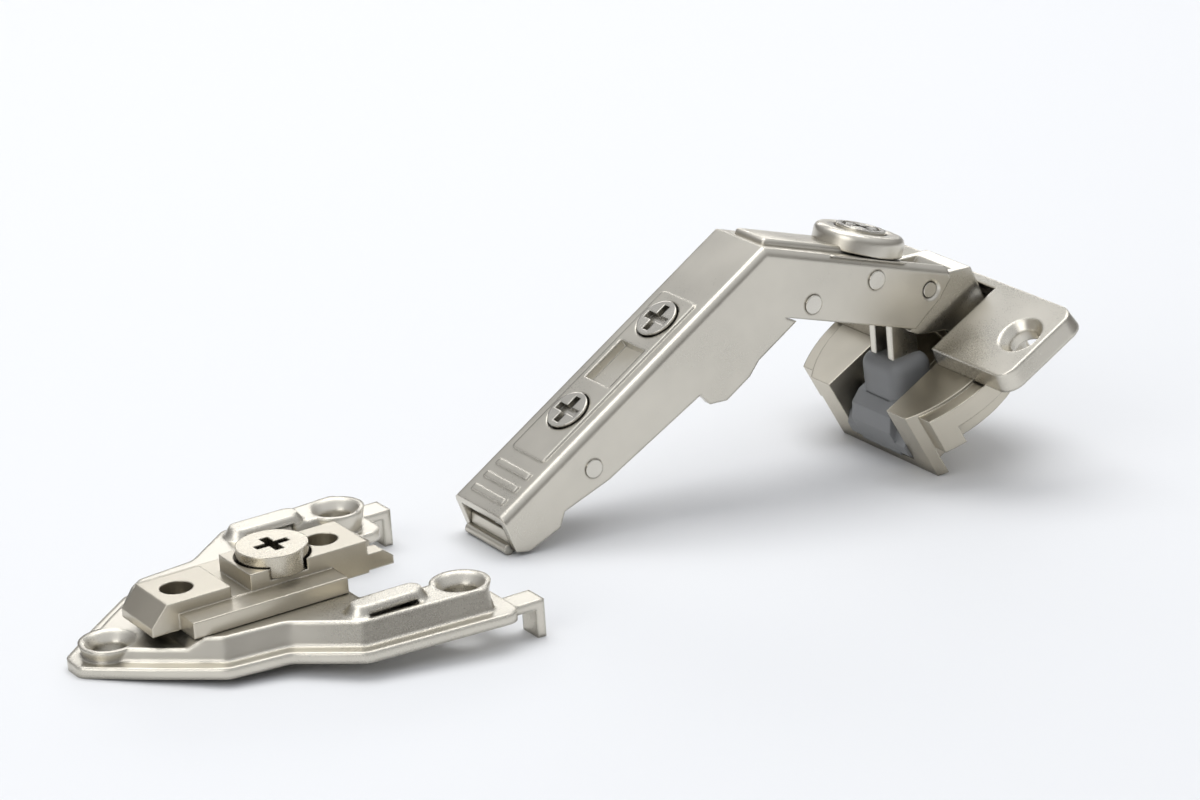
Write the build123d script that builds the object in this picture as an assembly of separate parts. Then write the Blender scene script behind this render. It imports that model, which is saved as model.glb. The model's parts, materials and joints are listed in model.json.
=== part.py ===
from build123d import *
import os
from math import asin, atan2, cos, degrees, hypot, radians, sin, tan

# Concealed cup hinge with a cranked arm, and its pressed mounting plate, unclipped from each other.
# Millimetres. +X runs from the arm's rear end towards the cup, +Y is sideways, +Z is up.
# Both lie on one flat surface: the plate on its tail and its front hooks, the hinge on the lip of
# its release lever and on the cut edge of its cup.

# ---- base plate: pressed sheet. Its frame: origin at the tail hole, on top of the tail field.
plate_sheet = 1.4
tail_rise = 3.0                 # tail field above the underside of the rim
front_rise = 1.4                # front field above the tail field
rim_width = 1.7
field_draft = 14.0
riser_x = 6.4                   # foot of the step between the fields
riser_run = 1.3                 # the step's run for each millimetre of rise
tail_tip = 5.3
tail_half = 1.8
cheek_x = 1.4
cheek_half = 7.9
shoulder_x = 9.0
shoulder_half = 14.3
waist_x = 17.0
waist_half = 15.2
wing_x = 24.5
wing_half = 21.4
wing_front_x = 45.8
wing_front_half = 23.0
gap_x = 31.6                    # floor of the gap between the wings
gap_half = 11.6
plate_corner = 1.9
plate_inner_corner = 1.0
wing_hole_x = 41.0
wing_hole_spacing = 32.0
plate_hole_d = 4.2
plate_sink_d = 6.6
hole_seat_wall = 0.9            # metal round each hole at the seat's foot
rib_x = 30.4
rib_length = 11.4
rib_width = 4.4
rib_rise = 1.3
rib_draft = 34.0
rib_skin = 0.9
rib_slit = 0.45
hook_reach = 4.2
hook_width = 3.6
hook_drop = 3.9
hook_sheet = 1.2

# ---- rail that carries the arm: it slides sideways on the front field
rail_web_half = 4.2
rail_top = 5.9                  # above the tail field
rail_low_top = 5.2
rail_rear_x = 5.4
rail_step_x = 17.0
rail_front_x = 33.6
rail_slant = 2.3
rail_lip = 1.1
ledge_half = 8.0
ledge_top = 3.6
ledge_rear_x = 6.9
ledge_front_x = 28.5
rail_skirt = 1.5                # wall of the rail over its hollow underside
notch_x = 14.2
notch_depth = 1.5
rail_hole_x = 8.8
rail_hole_d = 4.2
slot_hole_x = 29.4
slot_hole_d = 4.2
prong_reach = 3.6
prong_width = 2.3
prong_height = 2.2
rail_offset = 2.0               # where the rail stands, off the plate's middle line
cam_x = 22.4
cam_d = 9.2
cam_top = 7.3
cam_seat = 1.5                  # depth of the recess under the cam's head
cam_shaft_d = 5.0
stud_d = 2.6
stud_throw = 2.4
stud_turn = 60.0
washer_d = 5.2
washer_sheet = 0.8
stud_play = 0.3

# ---- cranked arm: one folded sheet. Its frame: origin at the rear end of the web, X along the rear
# part. The front part has its own frame at the crank.
arm_width = 12.7
arm_sheet = 1.2
fold_radius = 1.2
rear_length = 51.9
front_length = 33.0
crank_angle = 49.9
front_web_end = 24.6            # the web stops short of the cheeks' ends
rear_slant = 1.2
cheek_rear = 5.3
cheek_tail = 7.6
cheek_notch_x = 6.0
cheek_notch = 6.3
cheek_mid = 9.1
lug_x = 32.3
lug_depth = 12.9
cheek_deep = 12.1
front_cheek = 9.2
nose_slant = 3.6
screw_x = 17.9
depth_screw_x = 35.6
window_x = 27.1
window_length = 7.2
window_width = 5.8
panel_x = 9.7
panel_length = 30.3
panel_half = 3.9
panel_rise = 0.25
grip_x = 2.2
grip_pitch = 2.4
grip_count = 3
bead_x = 1.6
bead_half = 3.4
bead_rise = 0.8
dome_x = 11.5                   # pressed dome over the link carrier's screw
dome_end = 24.6
dome_rise = 2.9
dome_slit = 0.9
dome_screw_x = 20.4
dome_boss_d = 10.2
rivet_a = (20.0, -2.8)
rivet_b = (10.0, -7.0)
rivet_d = 2.7
rivet_head = 0.25

# ---- screws on the arm
screw_head_d = 6.1
screw_head = 1.2
screw_shank_d = 3.6
screw_recess = 0.9
side_screw_length = 6.4
depth_screw_length = 6.0
dome_screw_d = 7.1
dome_screw_shank_d = 3.8

# ---- release lever in the arm's rear end
lever_pin = (14.2, -4.8)
lever_pin_d = 2.6
lever_sheet = 0.8
lever_lip = (-1.5, -5.0)         # centre of the rolled lip
lever_lip_d = 1.5
spring_wire = 0.6
spring_play = 0.39              # beside the spring, inside the lever
shank_play = 0.1                # between the spring and the side screw

# ---- links. Arm pins are in the front part's frame, cup pins in the cup's frame.
outer_arm = (30.0, -3.5)
inner_arm = (28.0, -6.0)
outer_cup = (20.0, 6.0)
inner_cup = (6.0, 7.0)
link_pin_d = 2.2
link_play = 0.1                 # beside the outer link, inside the arm
cup_pin_d = 2.4
outer_link_sheet = 1.2
inner_link_width = 5.2
inner_link_sheet = 1.2
carrier_sheet = 0.9
carrier_nose_width = 7.4
carrier_start = 6.6
joggle_start = 22.4             # where the carrier narrows for the links
joggle_end = 25.2
joggle_thinning = 0.3
open_pivot_play = 0.55          # the inner link stays clear of its cup pin by this much
inner_swing = 55.3              # how far the inner link turns as the hinge closes
relief_play = 0.25              # the inner link is hollowed where it meets the outer link's arm pin

# ---- cup. Its frame: origin on the bottom edge of the cut, X along the flange, Z up the cup's axis.
cup_at = (34.57, -28.88)        # in the front part's frame, as the hinge stands open
cup_opening = 46.2              # flange against the front part
cup_d = 35.0                    # across the jaws that grip the bore
boss_d = 30.6
cup_cut = 10.5                  # cut face to the cup's axis
cup_height = 11.3
cup_wall = 1.5
pocket_half = 6.8
jaw_low = 7.9
jaw_top = 10.9
jaw_start = 1.3
jaw_end = 19.0
jaw_lug = 5.0                   # foot of the lug at the start of each jaw
jaw_lug_width = 2.9
post_a = (12.9, 12.2)
post_b = (18.5, 10.0)
post_d = 2.7
flange_centre_x = 17.55
flange_width = 15.1
flange_length = 47.8
flange_rise = 2.9
flange_sheet = 1.3
flange_corner = 2.6
flange_draft = 8.0
flange_hole_x = 17.9
flange_hole_spacing = 38.1
flange_seat_wall = 0.7          # metal round each hole at the seat's foot
flange_hole_d = 4.2
flange_sink_d = 6.6
flange_window_half = 7.4
flange_window_end = 23.4
housing_top = 9.0
housing_half = 4.5
housing_back = 10.3
housing_face = -0.4

# ---- clearances, and how the two lie beside each other
seat = 0.03                     # between pieces that are fastened to each other
running = 0.06                  # round a pin, and beside a link
slide = 0.1                     # under the rail
layout_x = 59.7                 # from the plate's tail hole to the arm's rear end
layout_y = 10.9

pieces = {}


def block(x0, x1, y0, y1, z0, z1):
    """A box between two corners."""
    return Pos((x0 + x1) / 2, (y0 + y1) / 2, (z0 + z1) / 2) * Box(x1 - x0, y1 - y0, z1 - z0)


def side(points, width, centre=0.0):
    """A closed outline in X and Z, given a width across the middle line."""
    outline = Plane.XZ * make_face(Polyline(*points, close=True))
    return Pos(0, centre, 0) * extrude(outline, width / 2, both=True)


def inset_corners(corners, inset):
    """The corners of an outline, taken clockwise, with every side moved inwards by the same distance."""
    moved = []
    for index, (x, y) in enumerate(corners):
        x0, y0 = corners[index - 1]
        x1, y1 = corners[(index + 1) % len(corners)]
        ax, ay = (x - x0) / hypot(x - x0, y - y0), (y - y0) / hypot(x - x0, y - y0)
        bx, by = (x1 - x) / hypot(x1 - x, y1 - y), (y1 - y) / hypot(x1 - x, y1 - y)
        share = inset / (1 + ax * bx + ay * by)
        moved.append((x + share * (ay + by), y - share * (ax + bx)))
    return moved


def rounded(corners, radius):
    """A face with rounded corners; each corner's radius leaves room for its neighbours."""
    before = corners[-1:] + corners[:-1]
    area = sum(x0 * y - x * y0 for (x0, y0), (x, y) in zip(before, corners))
    if area < 0:
        corners = corners[::-1]
    radii = []
    for index, (x, y) in enumerate(corners):
        x0, y0 = corners[index - 1]
        x1, y1 = corners[(index + 1) % len(corners)]
        turn = abs((degrees(atan2(y1 - y, x1 - x) - atan2(y - y0, x - x0)) + 180) % 360 - 180)
        room = 0.45 * min(hypot(x - x0, y - y0), hypot(x1 - x, y1 - y))
        radii.append(min(radius, room / tan(radians(turn / 2))))
    return make_face(FilletPolyline(*corners, radius=radii, close=True))


def plan(points, z0, z1, radius=0.0):
    """A closed outline in X and Y, raised from one level to another."""
    return Pos(0, 0, z0) * extrude(rounded(points, radius), z1 - z0)


def upright(x, y, z0, z1, diameter):
    """A vertical cylinder."""
    return Pos(x, y, (z0 + z1) / 2) * Cylinder(diameter / 2, z1 - z0)


def across(point, diameter, width, centre=0.0):
    """A cylinder across the hinge, at a point in X and Z."""
    return Pos(point[0], centre, point[1]) * Rot(90, 0, 0) * Cylinder(diameter / 2, width)


def sunk_hole(x, y, top, hole_d, sink_d, depth):
    """A through hole with a countersink that opens at the top."""
    cone_depth = (sink_d - hole_d) / 2
    cone = Pos(x, y, top - cone_depth / 2) * Cone(hole_d / 2, sink_d / 2, cone_depth)
    mouth = upright(x, y, top, top + 2, sink_d)
    return cone + mouth + upright(x, y, top - depth, top, hole_d)


def cross_recess(x, y, top, size, depth):
    """The tool recess of a cross-head screw."""
    at = Pos(x, y, top - depth / 2)
    return at * Box(size, size * 0.26, depth) + at * Box(size * 0.26, size, depth)


def eye_link(start, end, start_d, end_d, width, centre=0.0):
    """A bar with a round eye at each end, tangent to both."""
    run = hypot(end[0] - start[0], end[1] - start[1])
    lean = degrees(atan2(end[1] - start[1], end[0] - start[0]))
    turn = degrees(asin((start_d - end_d) / 2 / run))
    flat = [
        (start_d / 2 * sin(radians(turn)), start_d / 2 * cos(radians(turn))),
        (run + end_d / 2 * sin(radians(turn)), end_d / 2 * cos(radians(turn))),
        (run + end_d / 2 * sin(radians(turn)), -end_d / 2 * cos(radians(turn))),
        (start_d / 2 * sin(radians(turn)), -start_d / 2 * cos(radians(turn))),
    ]
    bar = side(flat, width) + across((0, 0), start_d, width) + across((run, 0), end_d, width)
    return Pos(start[0], centre, start[1]) * Rot(0, -lean, 0) * bar


# ======== base plate
def plate_outline(inset, corner):
    """The plate's outline, brought inwards by the same distance all round."""
    half = [
        (-tail_tip, tail_half),
        (cheek_x, cheek_half),
        (shoulder_x, shoulder_half),
        (waist_x, waist_half),
        (wing_x, wing_half),
        (wing_front_x, wing_front_half),
        (wing_front_x, gap_half),
        (gap_x, gap_half),
    ]
    corners = half + [(x, -y) for x, y in reversed(half)]
    return rounded(inset_corners(corners, inset), corner)


def plate_field(inset, corner, low_top, high_top, foot):
    """The low tail field and the high front field, drafted, with the slope between them."""
    face = Pos(0, 0, -tail_rise) * plate_outline(inset, corner)
    low = extrude(face, low_top + tail_rise, taper=field_draft)
    high = extrude(face, high_top + tail_rise, taper=field_draft)
    keep = side([
        (foot - riser_run * tail_rise, -tail_rise),
        (foot + riser_run * high_top, high_top),
        (wing_front_x + 5, high_top),
        (wing_front_x + 5, -tail_rise),
    ], 4 * wing_front_half)
    return low + (high & keep)


front_top = front_rise
base = Pos(0, 0, -tail_rise) * extrude(plate_outline(0, plate_corner), plate_sheet)
base = base + plate_field(rim_width, plate_corner, 0, front_top, riser_x)
under_top = front_top - plate_sheet
base = base - plate_field(rim_width + plate_sheet, plate_inner_corner, -plate_sheet, under_top,
                          riser_x + plate_sheet)

# Lanced ribs behind the wing holes: a round-ended bulge, hollow underneath and slit along one side.
for wing in (-1, 1):
    rib_y = wing * wing_hole_spacing / 2
    skin_shape = SlotOverall(rib_length, rib_width)
    skin = extrude(Pos(rib_x, rib_y, front_top) * skin_shape, rib_rise, taper=rib_draft)
    core_shape = SlotOverall(rib_length - 2 * rib_skin, rib_width - 2 * rib_skin)
    core_rise = front_top + rib_rise - rib_skin - under_top
    core = extrude(Pos(rib_x, rib_y, under_top) * core_shape, core_rise, taper=rib_draft / 2)
    slit_y = rib_y - rib_width / 2
    slit = block(rib_x - rib_length / 2 + rib_width / 2, rib_x + rib_length / 2 - rib_width / 2,
                 slit_y - rib_slit / 2, slit_y + rib_skin + rib_slit, under_top - 1, front_top + 0.35)
    base = base + skin - core - slit

# Screw holes: the metal round each is pressed down into a seat that bears on the cabinet's side.
for hole_x, hole_y, top in ((0, 0, 0), (wing_hole_x, wing_hole_spacing / 2, front_top),
                            (wing_hole_x, -wing_hole_spacing / 2, front_top)):
    hole_seat = top + tail_rise
    cup_seat = Pos(hole_x, hole_y, top - hole_seat / 2)
    base = base + cup_seat * Cone(plate_hole_d / 2 + hole_seat_wall, plate_sink_d / 2 + 0.6, hole_seat)
    base = base - sunk_hole(hole_x, hole_y, top, plate_hole_d, plate_sink_d, 4 * tail_rise)

# Front hooks: tongues of the wings' rims, bent down at their ends.
for wing in (-1, 1):
    hook = side([
        (wing_front_x - plate_sheet, -tail_rise),
        (wing_front_x - plate_sheet, -tail_rise + hook_sheet),
        (wing_front_x + hook_reach, -tail_rise + hook_sheet),
        (wing_front_x + hook_reach, -tail_rise - hook_drop),
        (wing_front_x + hook_reach - hook_sheet, -tail_rise - hook_drop),
        (wing_front_x + hook_reach - hook_sheet, -tail_rise),
    ], hook_width, wing * (wing_front_half - plate_corner - hook_width / 2))
    base = base + hook

# The stud of the cam passes a lengthwise slot, and a washer holds it from below.
rail_y = -rail_offset
stud_angle = stud_turn * rail_offset / (stud_throw * sin(radians(stud_turn)))
stud_at = (cam_x + stud_throw * cos(radians(stud_angle)), rail_y + stud_throw * sin(radians(stud_angle)))
slot_width = stud_d + 2 * stud_play
slot_x0 = cam_x + stud_throw * cos(radians(stud_turn))
slot_x1 = cam_x + stud_throw
slot_cut = block(slot_x0, slot_x1, -slot_width / 2, slot_width / 2, -5, 5)
slot_cut = slot_cut + upright(slot_x0, 0, -5, 5, slot_width) + upright(slot_x1, 0, -5, 5, slot_width)
base = base - slot_cut
pieces["base_plate"] = ("plate", base)

# ======== rail
rail_foot = front_top + slide
web = side([
    (rail_rear_x, rail_low_top),
    (rail_step_x, rail_low_top),
    (rail_step_x, rail_top),
    (rail_front_x, rail_top),
    (rail_front_x, rail_foot),
    (rail_rear_x - rail_slant, rail_foot),
    (rail_rear_x - rail_slant, rail_foot + rail_lip),
], 2 * rail_web_half)
ledges = block(ledge_rear_x, ledge_front_x, -ledge_half, ledge_half, rail_foot, ledge_top)
rail = web + ledges
notch_floor = rail_low_top - notch_depth
rail = rail - block(notch_x, rail_step_x, -ledge_half, ledge_half, notch_floor, rail_top + 1)
hollow = block(ledge_rear_x + rail_skirt, ledge_front_x - rail_skirt, -ledge_half + rail_skirt,
               ledge_half - rail_skirt, rail_foot - 1, ledge_top - 1.1)
boss = upright(cam_x, 0, rail_foot, ledge_top, cam_shaft_d + 2 * rail_skirt)
rail = rail - (hollow - boss)
rail = rail - upright(rail_hole_x, 0, rail_foot - 1, rail_top + 1, rail_hole_d)
rail = rail - upright(slot_hole_x, 0, rail_foot - 1, rail_top + 1, slot_hole_d)
recess_d = cam_d + 4 * running + 0.4
rail = rail - upright(cam_x, 0, rail_top - cam_seat, rail_top + 1, recess_d)
rail = rail - upright(cam_x, 0, rail_foot - 1, rail_top, cam_shaft_d + 2 * running)
for wing in (-1, 1):
    prong_y = wing * (rail_web_half - prong_width / 2)
    prong = side([
        (rail_front_x - 1, rail_foot + 0.3),
        (rail_front_x - 1, rail_foot + 0.3 + prong_height),
        (rail_front_x + prong_reach * 0.6, rail_foot + 0.3 + prong_height),
        (rail_front_x + prong_reach, rail_foot + 0.3 + prong_height * 0.5),
        (rail_front_x + prong_reach, rail_foot + 0.3),
    ], prong_width, prong_y)
    rail = rail + prong
pieces["rail"] = ("plate", Pos(0, rail_y, 0) * rail)

# ======== height cam and its washer
cam_floor = rail_top - cam_seat + running
washer_top = front_top - plate_sheet - slide
cam = upright(cam_x, rail_y, cam_floor, cam_top, cam_d)
cam = cam + upright(cam_x, rail_y, rail_foot - slide * 0.6, cam_floor, cam_shaft_d)
stud_end = washer_top - washer_sheet - 0.2
cam = cam + upright(stud_at[0], stud_at[1], stud_end, rail_foot - slide * 0.2, stud_d)
cam = cam - cross_recess(cam_x, rail_y, cam_top, 4.6, 1.4)
pieces["height_cam"] = ("plate", cam)
washer = upright(stud_at[0], stud_at[1], washer_top - washer_sheet, washer_top, washer_d)
washer = washer - upright(stud_at[0], stud_at[1], -9, 9, stud_d + 2 * seat)
pieces["cam_washer"] = ("plate", washer)


# ======== cranked arm
def front(x, z):
    """A point of the front part, in the rear part's frame."""
    turn = radians(crank_angle)
    return (rear_length + x * cos(turn) + z * sin(turn), z * cos(turn) - x * sin(turn))


crank_place = Pos(rear_length, 0, 0) * Rot(0, crank_angle, 0)
arm_outline = [
    (0, 0),
    (-rear_slant, -cheek_rear),
    (0.3, -cheek_rear - 1.4),
    (cheek_notch_x - 0.4, -cheek_tail),
    (cheek_notch_x + 1.4, -cheek_notch),
    (screw_x - 3, -cheek_mid + 1.2),
    (lug_x, -cheek_mid),
    (lug_x + 0.3, -lug_depth + 1.6),
    (lug_x + 2.6, -lug_depth),
    (lug_x + 7.2, -lug_depth),
    (lug_x + 9.6, -cheek_deep),
    (rear_length - 2.3, -cheek_deep),
    front(5.6, -front_cheek),
    front(front_length - nose_slant - 0.6, -front_cheek),
    front(front_length - nose_slant * 0.3, -front_cheek * 0.5),
    front(front_length, -1.6),
    front(front_length - 0.9, 0),
    (rear_length, 0),
]
arm = side(arm_outline, arm_width)
folds = arm.edges().filter_by(lambda e: abs(abs(e.center().Y) - arm_width / 2) < 0.01)
top_folds = [e for e in folds if e.length > rear_length * 0.5 or
             abs(e.center().Z - front(front_length / 2, 0)[1]) < 1.0 and e.length > front_length * 0.8]
arm = fillet(top_folds, fold_radius)
core = side([
    (-20, -arm_sheet),
    (rear_length - arm_sheet * 0.46, -arm_sheet),
    front(front_web_end, -arm_sheet),
    front(front_web_end, 20),
    front(front_length + 20, 20),
    front(front_length + 20, -60),
    (-20, -60),
], arm_width - 2 * arm_sheet)
arm = arm - core
cap_open = crank_place * block(front_web_end, front_length + 9, -arm_width / 2 + arm_sheet,
                               arm_width / 2 - arm_sheet, -9, 9)
arm = arm - cap_open

panel = plan([(panel_x, -panel_half), (panel_x + panel_length, -panel_half),
              (panel_x + panel_length, panel_half), (panel_x, panel_half)],
             -arm_sheet / 2, panel_rise, 0.6)
arm = arm + panel
arm = arm - block(window_x - window_length / 2, window_x + window_length / 2, -window_width / 2,
                  window_width / 2, -3, 3)
for hole_x in (screw_x, depth_screw_x):
    arm = arm - upright(hole_x, 0, -0.55, 3, screw_head_d + 0.5)
    arm = arm - upright(hole_x, 0, -3, 3, screw_shank_d + 4 * running)
for index in range(grip_count):
    rib_centre = grip_x + grip_pitch * index
    arm = arm + block(rib_centre - 0.5, rib_centre + 0.5, -panel_half, panel_half,
                      -arm_sheet / 2, panel_rise)
arm = arm - across(lever_pin, lever_pin_d + 2 * seat, arm_width + 9)

bead = crank_place * plan([(bead_x, -bead_half), (dome_x + 1, -bead_half),
                           (dome_x + 1, bead_half), (bead_x, bead_half)], -arm_sheet / 2, bead_rise, 0.8)
arm = arm + bead
dome = side([
    (dome_x, -0.2),
    (dome_x + 5.2, dome_rise),
    (dome_end - 1.4, dome_rise),
    (dome_end, dome_rise - 0.8),
    (dome_end, -0.2),
], arm_width - 0.02)
dome_core = side([
    (dome_x + 0.6, -3),
    (dome_x + 0.6, dome_slit),
    (dome_x + 5.6, dome_rise - arm_sheet),
    (dome_end + 5, dome_rise - arm_sheet),
    (dome_end + 5, -3),
], arm_width - 2 * arm_sheet)
slit_cut = side([
    (dome_x - 2, 0.75),
    (dome_x - 2, 0.75 + dome_slit),
    (dome_x + 8.2, 0.15 + dome_slit * 0.4),
    (dome_x + 8.2, 0.15),
], arm_width + 4)
dome = dome - dome_core
arm = arm + crank_place * dome
arm = arm - crank_place * slit_cut
boss_ring = upright(dome_screw_x, 0, dome_rise - 0.3, dome_rise + 0.3, dome_boss_d)
arm = arm + crank_place * boss_ring
arm = arm - crank_place * upright(dome_screw_x, 0, dome_rise - 0.55, dome_rise + 3, dome_screw_d + 0.5)
arm = arm - crank_place * upright(dome_screw_x, 0, -4, dome_rise + 3, dome_screw_shank_d + 4 * running)
for point in (rivet_a, rivet_b):
    arm = arm - crank_place * across(point, rivet_d + 2 * seat, arm_width + 9)
arm = arm - crank_place * across(outer_arm, link_pin_d + 2 * seat, arm_width + 9)
for wing in (-1, 1):
    dimple = Pos(outer_arm[0], wing * (arm_width / 2), outer_arm[1]) * Rot(-90 * wing, 0, 0)
    arm = arm - crank_place * dimple * Cone(link_pin_d / 2, link_pin_d / 2 + 0.9, 0.9)
pieces["arm_channel"] = ("arm", arm)

pieces["lever_pin"] = ("arm", across(lever_pin, lever_pin_d, arm_width + 0.3))

rivet_length = arm_sheet + carrier_sheet + rivet_head + 0.3
rivet_y = arm_width / 2 + rivet_head - rivet_length / 2
carrier_rivets = Part()
for point in (rivet_a, rivet_b):
    for wing in (-1, 1):
        carrier_rivets = carrier_rivets + across(point, rivet_d, rivet_length, wing * rivet_y)
pieces["carrier_rivets"] = ("arm", crank_place * carrier_rivets)

# ======== adjusting screws
for name, x, length in (("side_screw", screw_x, side_screw_length),
                        ("depth_screw", depth_screw_x, depth_screw_length)):
    screw = upright(x, 0, -0.55 + seat, -0.55 + seat + screw_head, screw_head_d)
    screw = screw + upright(x, 0, -length, 0, screw_shank_d)
    screw = screw - cross_recess(x, 0, -0.55 + seat + screw_head, 4.6, screw_recess)
    pieces[name] = ("arm", screw)

overlay = upright(dome_screw_x, 0, dome_rise - 0.55 + seat, dome_rise + 0.5, dome_screw_d)
overlay_end = -arm_sheet - carrier_sheet - 1.4
overlay = overlay + upright(dome_screw_x, 0, overlay_end, dome_rise, dome_screw_shank_d)
groove = upright(dome_screw_x, 0, dome_rise + 0.2, dome_rise + 1, 5.6) - upright(dome_screw_x, 0, 0, 9, 4.4)
overlay = overlay - groove - cross_recess(dome_screw_x, 0, dome_rise + 0.5, 3.6, 1.0)
pieces["overlay_screw"] = ("arm", crank_place * overlay)

# ======== release lever: two side walls, a cross web at the rear and a rolled lip
lever_width = arm_width - 2 * arm_sheet - 2 * running
lever_wall = [
    (0.0, -3.4),
    (lever_lip[0] + 0.3, lever_lip[1]),
    (1.2, -6.9),
    (lever_pin[0] - 3, lever_pin[1] - 1.9),
    (lever_pin[0], lever_pin[1] - 1.9),
    (lever_pin[0], lever_pin[1] + 1.9),
]
lever = side(lever_wall, lever_width) + across(lever_pin, 3.8, lever_width)
lever_half = lever_width / 2 - lever_sheet
lever = lever - block(lever_sheet * 0.5, rear_length, -lever_half, lever_half, -20, 5)
lever = lever + across(lever_lip, lever_lip_d, lever_width)
lever = lever - across(lever_pin, lever_pin_d + 2 * running, arm_width)
pieces["release_lever"] = ("arm", lever)

coil_inner = lever_pin_d + 4 * running
spring_width = lever_half - spring_play - screw_shank_d / 2 - shank_play
spring_y = screw_shank_d / 2 + shank_play + spring_width / 2
spring = across(lever_pin, coil_inner + 2 * spring_wire, spring_width, spring_y)
spring = spring - across(lever_pin, coil_inner, 9, spring_y)
leg_z = lever_pin[1] + coil_inner / 2 + spring_wire / 2
leg = Pos(lever_pin[0] - 2.2, spring_y, leg_z) * Rot(0, 90, 0) * Cylinder(spring_wire / 2, 4.4)
pieces["lever_spring"] = ("arm", spring + leg)

# ======== link carrier: a channel riveted between the cheeks, narrowed in front for the links
carrier_half = arm_width / 2 - arm_sheet - seat
nose_half = carrier_nose_width / 2
carrier_top = -arm_sheet - seat
carrier_side = side([
    (carrier_start, carrier_top),
    (dome_end - 2, carrier_top),
    (outer_arm[0] + 1.6, outer_arm[1] + 1.9),
    (outer_arm[0] + 2.0, outer_arm[1] - 0.6),
    (inner_arm[0] + 1.4, inner_arm[1] - 1.8),
    (inner_arm[0] - 1.4, inner_arm[1] - 2.2),
    (carrier_start + 0.8, -front_cheek + 0.3),
], 2 * carrier_half)
reach = 2 * front_length
joggle = [(0, carrier_half), (joggle_start, carrier_half), (joggle_end, nose_half), (reach, nose_half)]
shell = plan(joggle + [(x, -y) for x, y in reversed(joggle)], -reach, reach)
inside = [(-1, carrier_half - carrier_sheet), (joggle_start - joggle_thinning, carrier_half - carrier_sheet),
          (joggle_end - joggle_thinning, nose_half - carrier_sheet), (2 * reach, nose_half - carrier_sheet)]
void = plan(inside + [(x, -y) for x, y in reversed(inside)], -reach, carrier_top - carrier_sheet)
nose_inside = nose_half - carrier_sheet
void = void + block(front_web_end - 0.6, 2 * reach, -nose_inside, nose_inside, -reach, reach)
carrier = (carrier_side & shell) - void
for point in (rivet_a, rivet_b):
    carrier = carrier - across(point, rivet_d + 2 * seat, arm_width)
for point in (outer_arm, inner_arm):
    carrier = carrier - across(point, link_pin_d + 2 * seat, arm_width)
carrier = carrier - upright(dome_screw_x, 0, -5, 5, dome_screw_shank_d + 4 * running)
pieces["link_carrier"] = ("arm", crank_place * carrier)
pieces["outer_arm_pin"] = ("arm", crank_place * across(outer_arm, link_pin_d, arm_width - 0.5))
pieces["inner_arm_pin"] = ("arm", crank_place * across(inner_arm, link_pin_d, carrier_nose_width))


# ======== links
outer_link_width = arm_width - 2 * (arm_sheet + link_play)


def cup_point(point):
    """A point of the cup's frame, in the front part's frame."""
    turn = radians(cup_opening)
    return (cup_at[0] + point[0] * cos(turn) - point[1] * sin(turn),
            cup_at[1] + point[0] * sin(turn) + point[1] * cos(turn))


cup_place = crank_place * Pos(cup_at[0], 0, cup_at[1]) * Rot(0, -cup_opening, 0)
outer_end = cup_point(outer_cup)
outer_run = hypot(outer_end[0] - outer_arm[0], outer_end[1] - outer_arm[1])
outer_lean = degrees(atan2(outer_end[1] - outer_arm[1], outer_end[0] - outer_arm[0]))
link_profile = [
    (0, 2.0),
    (4.9, 6.4),
    (8.7, 4.9),
    (11.2, 3.8),
    (outer_run, 2.3),
    (outer_run, -2.3),
    (9.4, -2.4),
    (7.2, -2.9),
    (3.4, -5.8),
    (1.9, -6.2),
    (1.8, -1.4),
    (0, -2.0),
]
outer_link = side(link_profile, outer_link_width)
outer_link = outer_link + across((0, 0), 4.0, outer_link_width)
outer_link = outer_link + across((outer_run, 0), 4.6, outer_link_width)
web_inside = inset_corners(link_profile, outer_link_sheet)[:4]
link_void = side([(-5, web_inside[0][1])] + web_inside + [
    (outer_run - 2.4, 2.9 - outer_link_sheet),
    (outer_run - 1.0, 9),
    (outer_run + 9, 9),
    (outer_run + 9, -20),
    (-5, -20),
], outer_link_width - 2 * outer_link_sheet)
outer_link = outer_link - link_void
fork_half = outer_link_width / 2 - outer_link_sheet
outer_link = outer_link - block(-5, 3.0, -fork_half, fork_half, -9, 9)
outer_link = outer_link - across((0, 0), link_pin_d + 2 * running, 30)
outer_link = outer_link - across((outer_run, 0), cup_pin_d + 2 * running, 30)
outer_place = crank_place * Pos(outer_arm[0], 0, outer_arm[1]) * Rot(0, -outer_lean, 0)
pieces["outer_link"] = ("arm", outer_place * outer_link)

inner_end = cup_point(inner_cup)
inner_run = hypot(inner_end[0] - inner_arm[0], inner_end[1] - inner_arm[1])
inner_lean = degrees(atan2(inner_end[1] - inner_arm[1], inner_end[0] - inner_arm[0]))
inner_link = eye_link((0, 0), (inner_run, 0), 3.7, cup_pin_d + 2 * open_pivot_play + 1.6, inner_link_width)
inner_link = inner_link - block(-5, inner_run + 5, -inner_link_width / 2 + inner_link_sheet,
                                inner_link_width / 2 - inner_link_sheet, -5, 0.7)
inner_link = inner_link - across((0, 0), link_pin_d + 2 * running, 30)
inner_link = inner_link - across((inner_run, 0), cup_pin_d + 2 * open_pivot_play, 30)
pin_apart = hypot(outer_arm[0] - inner_arm[0], outer_arm[1] - inner_arm[1])
pin_angle = atan2(outer_arm[1] - inner_arm[1], outer_arm[0] - inner_arm[0])
relief_angle = pin_angle - radians(inner_lean + inner_swing)
relief_at = (pin_apart * cos(relief_angle), pin_apart * sin(relief_angle))
inner_link = inner_link - across(relief_at, link_pin_d + 2 * relief_play, 30)
inner_place = crank_place * Pos(inner_arm[0], 0, inner_arm[1]) * Rot(0, -inner_lean, 0)
pieces["inner_link"] = ("arm", inner_place * inner_link)

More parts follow.
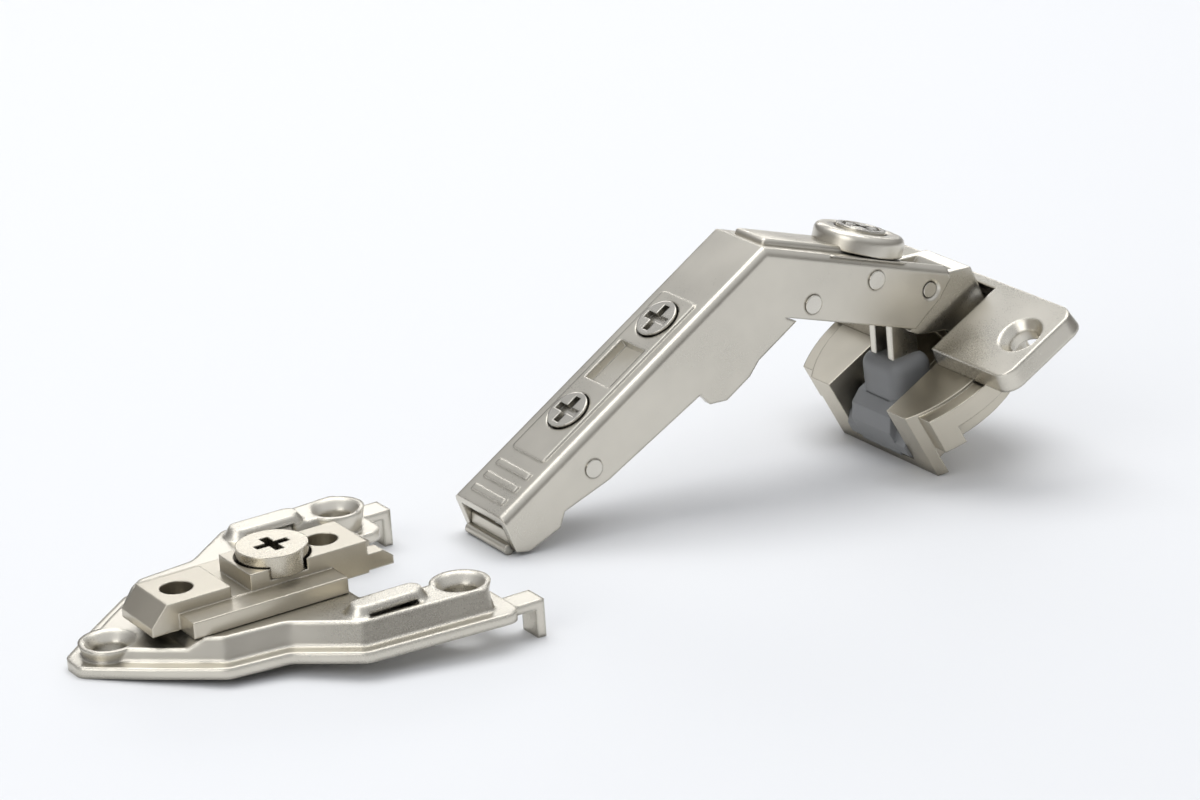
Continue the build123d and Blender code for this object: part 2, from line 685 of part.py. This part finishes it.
# ======== cup
cup = upright(cup_cut, 0, 0, cup_height, boss_d)
jaws = upright(cup_cut, 0, jaw_low, jaw_top, cup_d)
jaws = jaws & block(jaw_start, jaw_end, -cup_d, cup_d, 0, cup_height)
lugs = upright(cup_cut, 0, jaw_lug, jaw_top, cup_d)
lugs = lugs & block(jaw_start, jaw_start + jaw_lug_width, -cup_d, cup_d, 0, cup_height)
cup = (cup & block(0, cup_d, -cup_d, cup_d, -1, 2 * cup_height)) + jaws + lugs
pocket_end = outer_cup[0] + 2.3 + 0.8
cup = cup - block(-5, pocket_end, -pocket_half, pocket_half, cup_wall, 40)
pin_reach = pocket_half + 3
for point in (outer_cup, inner_cup):
    cup = cup - across(point, cup_pin_d + 2 * seat, 2 * pin_reach + 0.2)
flange_foot = cup_height + seat
flange_under = flange_foot + flange_rise - flange_sheet
for x, y in (post_a, post_b):
    for wing in (-1, 1):
        cup = cup + upright(x, wing * y, cup_height - 1, flange_under - seat, post_d)
pieces["cup"] = ("cup", cup)
pieces["outer_cup_pin"] = ("cup", across(outer_cup, cup_pin_d, 2 * pin_reach))
pieces["inner_cup_pin"] = ("cup", across(inner_cup, cup_pin_d, 2 * pin_reach))


# ======== flange: a shallow pressed dish across the cup, open in the middle for the links
def dish(inset, corner, height):
    """The dish's outline raised from its rim, drafted."""
    x0, x1 = flange_centre_x - flange_width / 2 + inset, flange_centre_x + flange_width / 2 - inset
    half = flange_length / 2 - inset
    corners = [(x0, -half), (x0, half), (x1, half), (x1, -half)]
    return extrude(Pos(0, 0, flange_foot) * rounded(corners, corner), height, taper=flange_draft)


flange = dish(0, flange_corner, flange_rise) - dish(flange_sheet, 0, flange_rise - flange_sheet)
flange_level = flange_foot + flange_rise
for wing in (-1, 1):
    hole_y = wing * flange_hole_spacing / 2
    seat_boss = Pos(flange_hole_x, hole_y, flange_foot + flange_rise / 2)
    seat_radius = flange_hole_d / 2 + flange_seat_wall
    flange = flange + seat_boss * Cone(seat_radius, flange_sink_d / 2 + 1.0, flange_rise)
    flange = flange - sunk_hole(flange_hole_x, hole_y, flange_level, flange_hole_d, flange_sink_d, 9)
flange = flange - block(-5, flange_window_end, -flange_window_half, flange_window_half, 0, 30)
pieces["flange"] = ("cup", flange)

# ======== plastic housing in the mouth of the cup, slotted for the inner link
housing = side([
    (0.4, cup_wall + seat),
    (housing_face, cup_wall + 1.0),
    (housing_face, 4.2),
    (0.8, 5.6),
    (housing_back + 2, 5.6),
    (housing_back + 2, cup_wall + seat),
], 2 * (pocket_half - seat))
housing = housing + side([
    (housing_face, cup_wall + 0.4),
    (housing_face, 6.0),
    (0.9, 8.1),
    (2.8, housing_top),
    (8.6, housing_top),
    (housing_back, 7.2),
    (housing_back, cup_wall + 0.4),
], 2 * housing_half)
eye_r = cup_pin_d / 2 + open_pivot_play + 0.8
eye_room = eye_r + open_pivot_play + 0.1
slot_half = inner_link_width / 2 + 0.15
housing = housing - block(inner_cup[0] - eye_room, housing_back + 5, -slot_half, slot_half,
                          inner_cup[1] - eye_room, 20)
housing = housing - across(inner_cup, cup_pin_d + 2 * seat, 30)
pieces["damper_housing"] = ("cup", housing)

# ======== how the two lie: the lean of each follows from the two edges that it rests on
hook_tip = (wing_front_x + hook_reach - hook_sheet, -tail_rise - hook_drop)
tail_edge = (-tail_tip, -tail_rise)
plate_tilt = degrees(atan2(tail_edge[1] - hook_tip[1], hook_tip[0] - tail_edge[0]))
plate_level = -(tail_edge[0] * sin(radians(plate_tilt)) + tail_edge[1] * cos(radians(plate_tilt)))

cup_edge = front(*cup_at)
rest = (lever_lip[0] - cup_edge[0], lever_lip[1] - cup_edge[1])
arm_lean = 180 - degrees(asin(lever_lip_d / 2 / hypot(*rest))) - degrees(atan2(rest[1], rest[0]))
arm_level = -(cup_edge[0] * sin(radians(arm_lean)) + cup_edge[1] * cos(radians(arm_lean)))

arm_place = Pos(0, 0, arm_level) * Rot(0, -arm_lean, 0)
places = {
    "plate": Pos(-layout_x, -layout_y, plate_level) * Rot(0, -plate_tilt, 0),
    "arm": arm_place,
    "cup": arm_place * cup_place,
}
placed = {name: places[group] * shape for name, (group, shape) in pieces.items()}
boxes = [shape.bounding_box() for shape in placed.values()]
low = [min(getattr(box.min, axis) for box in boxes) for axis in "XYZ"]
high = [max(getattr(box.max, axis) for box in boxes) for axis in "XYZ"]
centre = Pos(-(low[0] + high[0]) / 2, -(low[1] + high[1]) / 2, -low[2])

os.makedirs("parts", exist_ok=True)
for name, shape in placed.items():
    export_step(centre * shape, f"parts/{name}.step")
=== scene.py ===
import json
import math

import bmesh
import bpy
from mathutils import Matrix, Vector


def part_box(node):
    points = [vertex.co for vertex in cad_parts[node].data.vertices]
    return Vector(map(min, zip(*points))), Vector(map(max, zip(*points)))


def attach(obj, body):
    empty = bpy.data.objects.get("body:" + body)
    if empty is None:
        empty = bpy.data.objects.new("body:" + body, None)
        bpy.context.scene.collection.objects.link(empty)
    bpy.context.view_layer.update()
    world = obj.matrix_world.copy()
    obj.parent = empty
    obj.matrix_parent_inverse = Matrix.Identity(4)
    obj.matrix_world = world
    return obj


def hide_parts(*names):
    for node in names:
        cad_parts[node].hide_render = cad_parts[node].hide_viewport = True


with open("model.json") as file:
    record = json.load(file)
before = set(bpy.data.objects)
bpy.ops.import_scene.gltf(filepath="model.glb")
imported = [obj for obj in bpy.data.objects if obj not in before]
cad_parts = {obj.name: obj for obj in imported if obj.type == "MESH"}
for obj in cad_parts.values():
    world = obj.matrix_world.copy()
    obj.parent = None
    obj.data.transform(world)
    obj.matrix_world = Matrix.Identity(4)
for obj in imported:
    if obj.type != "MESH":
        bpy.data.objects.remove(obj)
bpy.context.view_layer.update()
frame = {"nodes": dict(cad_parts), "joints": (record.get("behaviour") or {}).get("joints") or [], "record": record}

# ---- table top: a wide sheet of white card with a matt surface. The hinge and its plate lie on it,
# and it goes on past the edges of the view, so that it is its own background.
card_mesh = bmesh.new()
bmesh.ops.create_grid(card_mesh, x_segments=1, y_segments=1, size=6.0)
card_data = bpy.data.meshes.new("table_card")
card_mesh.to_mesh(card_data)
card_mesh.free()
card = bpy.data.objects.new("table_card", card_data)
bpy.context.scene.collection.objects.link(card)

card_finish = bpy.data.materials.new("white_card")
card_finish.use_nodes = True
card_shader = card_finish.node_tree.nodes["Principled BSDF"]
card_shader.inputs["Base Color"].default_value = (0.83, 0.838, 0.85, 1)
card_shader.inputs["Roughness"].default_value = 0.7
card_shader.inputs["Specular IOR Level"].default_value = 0.3
card_data.materials.append(card_finish)

# ---- camera: a long lens, level, that looks down on the two pieces from the plate's side. It is
# placed from the middle of the arm's rear end.
lens_mm = 116.97
eye_offset = (-0.25086, -0.4184, 0.1845)
target_offset = (0.04692, 0.0427, 0.0)
arm_low, arm_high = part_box("arm_channel")
arm_rear = Vector((arm_low[0], (arm_low[1] + arm_high[1]) / 2, 0))
camera_data = bpy.data.cameras.new("camera")
camera_data.lens = lens_mm
camera_data.sensor_width = 36.0
camera = bpy.data.objects.new("camera", camera_data)
bpy.context.scene.collection.objects.link(camera)
camera.location = arm_rear + Vector(eye_offset)
sight = arm_rear + Vector(target_offset) - camera.location
camera.rotation_euler = sight.to_track_quat("-Z", "Y").to_euler()
bpy.context.scene.camera = camera


# ---- light: a broad soft panel overhead, a weaker one from the left, a strip from behind for the
# folds, and a pale room around.
def soft_panel(name, place, width, height, power):
    panel_data = bpy.data.lights.new(name, "AREA")
    panel_data.shape = "RECTANGLE"
    panel_data.size = width
    panel_data.size_y = height
    panel_data.energy = power
    panel = bpy.data.objects.new(name, panel_data)
    panel.location = place
    panel.rotation_euler = (-Vector(place)).to_track_quat("-Z", "Y").to_euler()
    bpy.context.scene.collection.objects.link(panel)


soft_panel("overhead_panel", (0.05, 0.25, 0.9), 0.9, 0.6, 4.6)
soft_panel("left_panel", (-0.75, -0.25, 0.45), 0.5, 0.5, 1.6)
soft_panel("rear_strip", (0.5, 0.8, 0.35), 0.7, 0.18, 1.2)
room = bpy.data.worlds.new("room")
room.use_nodes = True
room_nodes = room.node_tree.nodes
room_links = room.node_tree.links
room_direction = room_nodes.new("ShaderNodeTexCoord")
room_axes = room_nodes.new("ShaderNodeSeparateXYZ")
room_height = room_nodes.new("ShaderNodeValToRGB")
room_links.new(room_direction.outputs["Generated"], room_axes.inputs["Vector"])
room_links.new(room_axes.outputs["Z"], room_height.inputs["Fac"])
room_links.new(room_height.outputs["Color"], room_nodes["Background"].inputs["Color"])
room_stops = room_height.color_ramp.elements
room_stops[0].position = 0.05
room_stops[0].color = (0.22, 0.21, 0.20, 1)
room_stops[1].position = 0.75
room_stops[1].color = (0.92, 0.94, 0.98, 1)
room_middle = room_stops.new(0.38)
room_middle.color = (0.52, 0.52, 0.53, 1)
room_nodes["Background"].inputs["Strength"].default_value = 0.75
bpy.context.scene.world = room


# ---- base plate: pressed from one sheet, its edges rounded by the press, then plated with nickel.
# The plating is satin: a fine grain, faint clouds, edges with less roughness and a painted highlight, and painted
# shade in its crevices.
class Field:
    """A value or a direction at every point of a surface; Python's sums on it add maths nodes."""

    def __init__(self, tree, socket):
        self.tree = tree
        self.socket = socket

    def maths(self, operation, first, second):
        node = self.tree.nodes.new("ShaderNodeMath")
        node.operation = operation
        for entry, value in zip(node.inputs, (first, second)):
            if isinstance(value, Field):
                self.tree.links.new(value.socket, entry)
            else:
                entry.default_value = value
        return Field(self.tree, node.outputs[0])

    def __add__(self, other):
        return self.maths("ADD", self, other)

    def __radd__(self, other):
        return self.maths("ADD", other, self)

    def __sub__(self, other):
        return self.maths("SUBTRACT", self, other)

    def __rsub__(self, other):
        return self.maths("SUBTRACT", other, self)

    def __mul__(self, other):
        return self.maths("MULTIPLY", self, other)

    def __rmul__(self, other):
        return self.maths("MULTIPLY", other, self)


class Finish:
    """A finish: one Principled shader, and one method that adds any other node."""

    def __init__(self, name, colour, metallic, roughness):
        self.material = bpy.data.materials.new(name)
        self.material.use_nodes = True
        self.tree = self.material.node_tree
        self.shader = self.tree.nodes["Principled BSDF"]
        self.shader.inputs["Base Color"].default_value = (*colour, 1)
        self.shader.inputs["Metallic"].default_value = metallic
        self.shader.inputs["Roughness"].default_value = roughness

    def node(self, kind, output, settings=None, **values):
        added = self.tree.nodes.new("ShaderNode" + kind)
        for name, value in (settings or {}).items():
            setattr(added, name, value)
        for name, value in values.items():
            entry = added.inputs[name.replace("_", " ")]
            if isinstance(value, Field):
                self.tree.links.new(value.socket, entry)
            else:
                entry.default_value = value
        return Field(self.tree, added.outputs[output])

    def give(self, **values):
        for name, value in values.items():
            self.tree.links.new(value.socket, self.shader.inputs[name.replace("_", " ")])

    def step(self, value, low, high):
        """0 below the low value, 1 above the high one, smooth between them."""
        return self.node("MapRange", "Result", {"interpolation_type": "SMOOTHSTEP"},
                         Value=value, From_Min=low, From_Max=high)

    def mixed(self, share, first, second):
        """A colour between two others, which are the Mix node's entries 6 and 7."""
        node = self.tree.nodes.new("ShaderNodeMix")
        node.data_type = "RGBA"
        self.tree.links.new(share.socket, node.inputs["Factor"])
        for entry, value in ((node.inputs[6], first), (node.inputs[7], second)):
            if isinstance(value, Field):
                self.tree.links.new(value.socket, entry)
            else:
                entry.default_value = (*value, 1)
        return Field(self.tree, node.outputs[2])


mm = 0.001
nickel_tint = (0.70, 0.665, 0.585)


def plating(name, tint, roughness, grain_mm, grain_depth, edge_mm):
    """Satin plating: the grain's size and depth in millimetres, and how far the edges are rounded."""
    clouds_per_metre = 70.0
    crevice_reach = 3.5 * mm
    dull_share, highlight_share, crevice_shade_share = 0.88, 1.08, 0.16
    grain_swing, cloud_swing, edge_polish = 0.14, 0.16, 0.08
    cloud_low, cloud_high = 0.3, 0.7
    edge_low, edge_high, highlight_edge_share = 0.02, 0.25, 0.6
    crevice_low, crevice_high = 0.05, 0.62

    finish = Finish(name, tint, 1.0, roughness)
    place = finish.node("TexCoord", "Object")
    grain = finish.node("TexNoise", "Fac", Vector=place, Scale=1 / (grain_mm * mm), Detail=2.0,
                        Roughness=0.6)
    cloud = finish.node("TexNoise", "Fac", Vector=place, Scale=clouds_per_metre, Detail=3.0,
                        Roughness=0.55)
    rounded = finish.node("Bevel", "Normal", {"samples": 6}, Radius=edge_mm * mm)
    flat = finish.node("NewGeometry", "Normal")
    likeness = finish.node("VectorMath", "Value", {"operation": "DOT_PRODUCT"})
    dot_node = likeness.socket.node
    finish.tree.links.new(rounded.socket, dot_node.inputs[0])
    finish.tree.links.new(flat.socket, dot_node.inputs[1])
    edge = finish.step(1 - likeness, edge_low, edge_high)
    dull = tuple(dull_share * channel for channel in tint)
    # Painted highlight: along the edges the colour is lightened above the tint; the lower roughness there is
    # separate.
    painted_highlight = tuple(highlight_share * channel for channel in tint)
    body_tint = finish.mixed(finish.step(cloud, cloud_low, cloud_high), dull, tint)
    body_tint = finish.mixed(edge * highlight_edge_share, body_tint, painted_highlight)
    # Painted shade: where ambient occlusion finds crevices and hollows, the colour is darkened towards a small
    # share of the tint.
    openness = finish.node("AmbientOcclusion", "AO", {"samples": 6, "only_local": False},
                           Distance=crevice_reach)
    painted_crevice_shade = tuple(crevice_shade_share * channel for channel in tint)
    unshaded = finish.step(openness, crevice_low, crevice_high)
    finish.give(Base_Color=finish.mixed(unshaded, painted_crevice_shade, body_tint))
    worn = roughness + grain_swing * (grain - 0.5) + cloud_swing * (cloud - 0.5)
    finish.give(Roughness=worn - edge_polish * edge)
    finish.give(Normal=finish.node("Bump", "Normal", Height=grain * grain_depth, Normal=rounded,
                                   Strength=1.0, Distance=mm))
    return finish.material


def coat(material, *nodes):
    """Puts one finish on every face of some pieces."""
    for name in nodes:
        for slot in frame["nodes"][name].material_slots:
            slot.material = material


coat(plating("plate_nickel", nickel_tint, 0.30, 0.22, 0.006, 0.9), "base_plate")

# ---- rail and height cam: zinc castings with a slightly open, grainy skin under the plating. The
# rail slides on the plate, and the cam and its washer clamp it.
zinc_tint = (0.64, 0.595, 0.50)
coat(plating("rail_zinc", zinc_tint, 0.34, 0.35, 0.014, 0.35), "rail")
coat(plating("cam_nickel", zinc_tint, 0.27, 0.20, 0.006, 0.3), "height_cam", "cam_washer")

# ---- arm: folded from one sheet of steel, then plated. Its folds are softly rounded, and a bead
# and a dome are pressed up from its front web.
arm_nickel = plating("arm_nickel", nickel_tint, 0.31, 0.20, 0.006, 0.5)


def turned(axis, place):
    """A frame whose Z is the given axis and whose Y is the hinge's sideways direction."""
    up = Vector(axis).normalized()
    sideways = Vector((0, 1, 0))
    along = sideways.cross(up)
    return Matrix.Translation(place) @ Matrix((along, sideways, up)).transposed().to_4x4()


def add_piece(name, shape, material, body, crease=None):
    """Makes a piece of a bmesh that is in place, smooth up to the crease angle, riding on a body."""
    data = bpy.data.meshes.new(name)
    for face in shape.faces:
        face.smooth = crease is not None
    shape.to_mesh(data)
    shape.free()
    if crease is not None:
        data.set_sharp_from_angle(angle=math.radians(crease))
    data.materials.append(material)
    piece = bpy.data.objects.new(name, data)
    bpy.context.scene.collection.objects.link(piece)
    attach(piece, body)
    return piece


joints = {joint["name"]: joint for joint in frame["joints"]}
front_web = turned(joints["overlay_screw_turn"]["axis"], joints["overlay_screw_turn"]["pos_m"])

# The folded sheet itself, taken level with its front web, without the raised parts on it.
merge_reach = 0.001 * mm
web_level = 0.02 * mm
web_normal = front_web.to_3x3() @ Vector((0, 0, 1))
folded = bmesh.new()
folded.from_mesh(frame["nodes"]["arm_channel"].data)
bmesh.ops.remove_doubles(folded, verts=folded.verts, dist=merge_reach)
level = bmesh.ops.bisect_plane(folded, geom=folded.verts[:] + folded.edges[:] + folded.faces[:],
                               plane_co=front_web @ Vector((0, 0, web_level)), plane_no=web_normal,
                               clear_outer=True)
rim = [edge for edge in level["geom_cut"] if isinstance(edge, bmesh.types.BMEdge)]
bmesh.ops.triangle_fill(folded, use_beauty=True, edges=rim, normal=web_normal)
folded_arm = add_piece("folded_arm", folded, arm_nickel, "arm_and_plate")
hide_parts("arm_channel")

# The pressed dome over the adjusting screw: a round cap with a rolled shoulder. Its section gives
# the radius and the height above the web of each point, in millimetres.
dome_steps = 72
dome_section = [(2.1, 1.8), (2.1, 2.35), (3.8, 2.35), (3.8, 2.84), (3.94, 2.97), (5.5, 3.0), (5.95, 2.9),
                (6.25, 2.66), (6.42, 2.3), (6.46, 1.9), (6.46, 0.32), (6.3, 0.2), (5.7, 0.2), (5.55, 1.7)]
dome = bmesh.new()
section = [dome.verts.new((radius * mm, 0, height * mm)) for radius, height in dome_section]
section_edges = [dome.edges.new((section[i - 1], section[i])) for i in range(len(section))]
bmesh.ops.spin(dome, geom=section + section_edges, cent=(0, 0, 0), axis=(0, 0, 1), angle=2 * math.pi,
               steps=dome_steps, use_merge=True)
bmesh.ops.recalc_face_normals(dome, faces=dome.faces)
bmesh.ops.transform(dome, matrix=front_web, verts=dome.verts)
add_piece("pressed_dome", dome, arm_nickel, "arm_and_plate", 50)

# The stiffening bead along the front web, which runs in under the dome.
bead_length, bead_width, bead_rise, bead_round = 15.5, 7.0, 0.85, 0.55
bead_start = -18.9
bead = bmesh.new()
bmesh.ops.create_cube(bead, size=1)
bmesh.ops.scale(bead, vec=(bead_length * mm, bead_width * mm, 2 * bead_rise * mm), verts=bead.verts)
bmesh.ops.translate(bead, vec=((bead_start + bead_length / 2) * mm, 0, 0), verts=bead.verts)
bmesh.ops.bevel(bead, geom=bead.edges[:], offset=bead_round * mm, offset_type="OFFSET", affect="EDGES",
                segments=5, profile=0.5, material=-1)
bmesh.ops.transform(bead, matrix=front_web, verts=bead.verts)
add_piece("web_bead", bead, arm_nickel, "arm_and_plate", 60)

# ---- pins, rivets and screws: turned and headed steel, with a closer and brighter plating. The
# lever's pin and the rivets show in the arm's sides, and the screws stand in its webs.
pin_tint = (0.72, 0.69, 0.62)
coat(plating("pin_nickel", pin_tint, 0.24, 0.15, 0.004, 0.3), "lever_pin", "carrier_rivets",
     "side_screw", "depth_screw", "overlay_screw", "outer_arm_pin", "inner_arm_pin",
     "outer_cup_pin", "inner_cup_pin")

# ---- release lever, its spring and the link carrier: thin pressed steel inside the arm. The lever
# clips the arm to its plate, and the carrier holds the pins of the two links.
coat(plating("inner_steel", nickel_tint, 0.33, 0.20, 0.006, 0.3), "release_lever", "lever_spring",
     "link_carrier")

# ---- links: both folded from sheet like the arm's. The outer one is a broad channel, and the inner
# one a narrow one with an eye at each end.
coat(plating("link_nickel", nickel_tint, 0.29, 0.20, 0.006, 0.4), "outer_link", "inner_link")

# ---- cup: a zinc casting with sand-fine grain. Its flange is a shallow pressed dish on top, which
# takes the two door screws.
cup_zinc = plating("cup_zinc", zinc_tint, 0.33, 0.32, 0.012, 0.3)
coat(plating("flange_nickel", nickel_tint, 0.29, 0.20, 0.005, 0.6), "flange")
mounts = {mount["name"]: mount for mount in frame["record"]["mounts"]}
outer_pin = Vector((20, 0, 6)) * mm
inner_pin = Vector((6, 0, 7)) * mm
cup_frame = turned(mounts["door_screw_hole_left"]["axis"], joints["cup_turn"]["pos_m"])
cup_frame = cup_frame @ Matrix.Translation(-outer_pin)

# Beside the links the casting is shallow: only its front wall reaches down to the bore's floor.
front_wall, shallow_half, shallow_foot = 1.3, 8.4, 4.8
block_long, block_side = 40, 20
casting = bpy.data.objects.new("cup_casting", frame["nodes"]["cup"].data.copy())
bpy.context.scene.collection.objects.link(casting)
merged = bmesh.new()
merged.from_mesh(casting.data)
bmesh.ops.remove_doubles(merged, verts=merged.verts, dist=merge_reach)
merged.to_mesh(casting.data)
merged.free()
relief_blocks = []
for side in (-1, 1):
    block = bmesh.new()
    bmesh.ops.create_cube(block, size=1)
    bmesh.ops.scale(block, vec=Vector((block_long, block_side, block_side)) * mm, verts=block.verts)
    middle = Vector((front_wall + block_long / 2, side * (shallow_half + block_side / 2),
                     shallow_foot - block_side / 2)) * mm
    bmesh.ops.translate(block, vec=middle, verts=block.verts)
    bmesh.ops.transform(block, matrix=cup_frame, verts=block.verts)
    block_data = bpy.data.meshes.new("relief_block")
    block.to_mesh(block_data)
    block.free()
    relief = bpy.data.objects.new("relief_block", block_data)
    bpy.context.scene.collection.objects.link(relief)
    cut = casting.modifiers.new("cut", "BOOLEAN")
    cut.object = relief
    cut.operation = "DIFFERENCE"
    cut.solver = "EXACT"
    relief_blocks.append(relief)
carved = bmesh.new()
bpy.context.view_layer.update()
carved.from_object(casting, bpy.context.evaluated_depsgraph_get())
for helper in relief_blocks + [casting]:
    bpy.data.objects.remove(helper)
cast_cup = add_piece("cast_cup", carved, cup_zinc, "cup")
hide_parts("cup")

# ---- housing in the mouth of the cup, and the shoe above it: grey acetal, moulded, with a fine
# matt skin.
acetal_grains_per_metre, acetal_clouds_per_metre = 5200.0, 180.0
acetal_grain_depth, acetal_edge = 0.006, 0.4 * mm
acetal_gloss, acetal_gloss_swing = 0.38, 0.12
acetal_dark, acetal_middle, acetal_pale = (0.22, 0.225, 0.23), (0.24, 0.245, 0.25), (0.27, 0.275, 0.28)
acetal = Finish("grey_acetal", acetal_middle, 0.0, acetal_gloss)
acetal_place = acetal.node("TexCoord", "Object")
acetal_grain = acetal.node("TexNoise", "Fac", Vector=acetal_place, Scale=acetal_grains_per_metre,
                           Detail=2.0)
acetal_cloud = acetal.node("TexNoise", "Fac", Vector=acetal_place, Scale=acetal_clouds_per_metre,
                           Detail=2.0)
acetal.give(Base_Color=acetal.mixed(acetal_cloud, acetal_dark, acetal_pale))
acetal.give(Roughness=acetal_gloss + acetal_gloss_swing * acetal_grain)
acetal_round = acetal.node("Bevel", "Normal", {"samples": 6}, Radius=acetal_edge)
acetal.give(Normal=acetal.node("Bump", "Normal", Height=acetal_grain * acetal_grain_depth,
                               Normal=acetal_round, Strength=1.0, Distance=mm))
coat(acetal.material, "damper_housing")

# The inner link's lower half is moulded into a round-shouldered shoe of the same acetal, which fills
# the mouth of the housing and swings with the link.
inner_cup_pin = cup_frame @ inner_pin
link_run = Vector(joints["inner_link_turn"]["pos_m"]) - inner_cup_pin
shoe_deep, shoe_wide, shoe_foot, shoe_head, shoe_round = 7.2, 8.8, -2.8, 6.4, 2.0
shoe = bmesh.new()
bmesh.ops.create_cube(shoe, size=1)
bmesh.ops.scale(shoe, vec=(shoe_deep * mm, shoe_wide * mm, (shoe_head - shoe_foot) * mm), verts=shoe.verts)
bmesh.ops.translate(shoe, vec=(0, 0, (shoe_head + shoe_foot) / 2 * mm), verts=shoe.verts)
bmesh.ops.bevel(shoe, geom=shoe.edges[:], offset=shoe_round * mm, offset_type="OFFSET", affect="EDGES",
                segments=8, profile=0.5, material=-1)
bmesh.ops.transform(shoe, matrix=turned(link_run, inner_cup_pin), verts=shoe.verts)
add_piece("link_shoe", shoe, acetal.material, "inner_link", 60)

# ---- the finished hinge: shown with plain colours.
bpy.context.scene.view_settings.view_transform = "Standard"
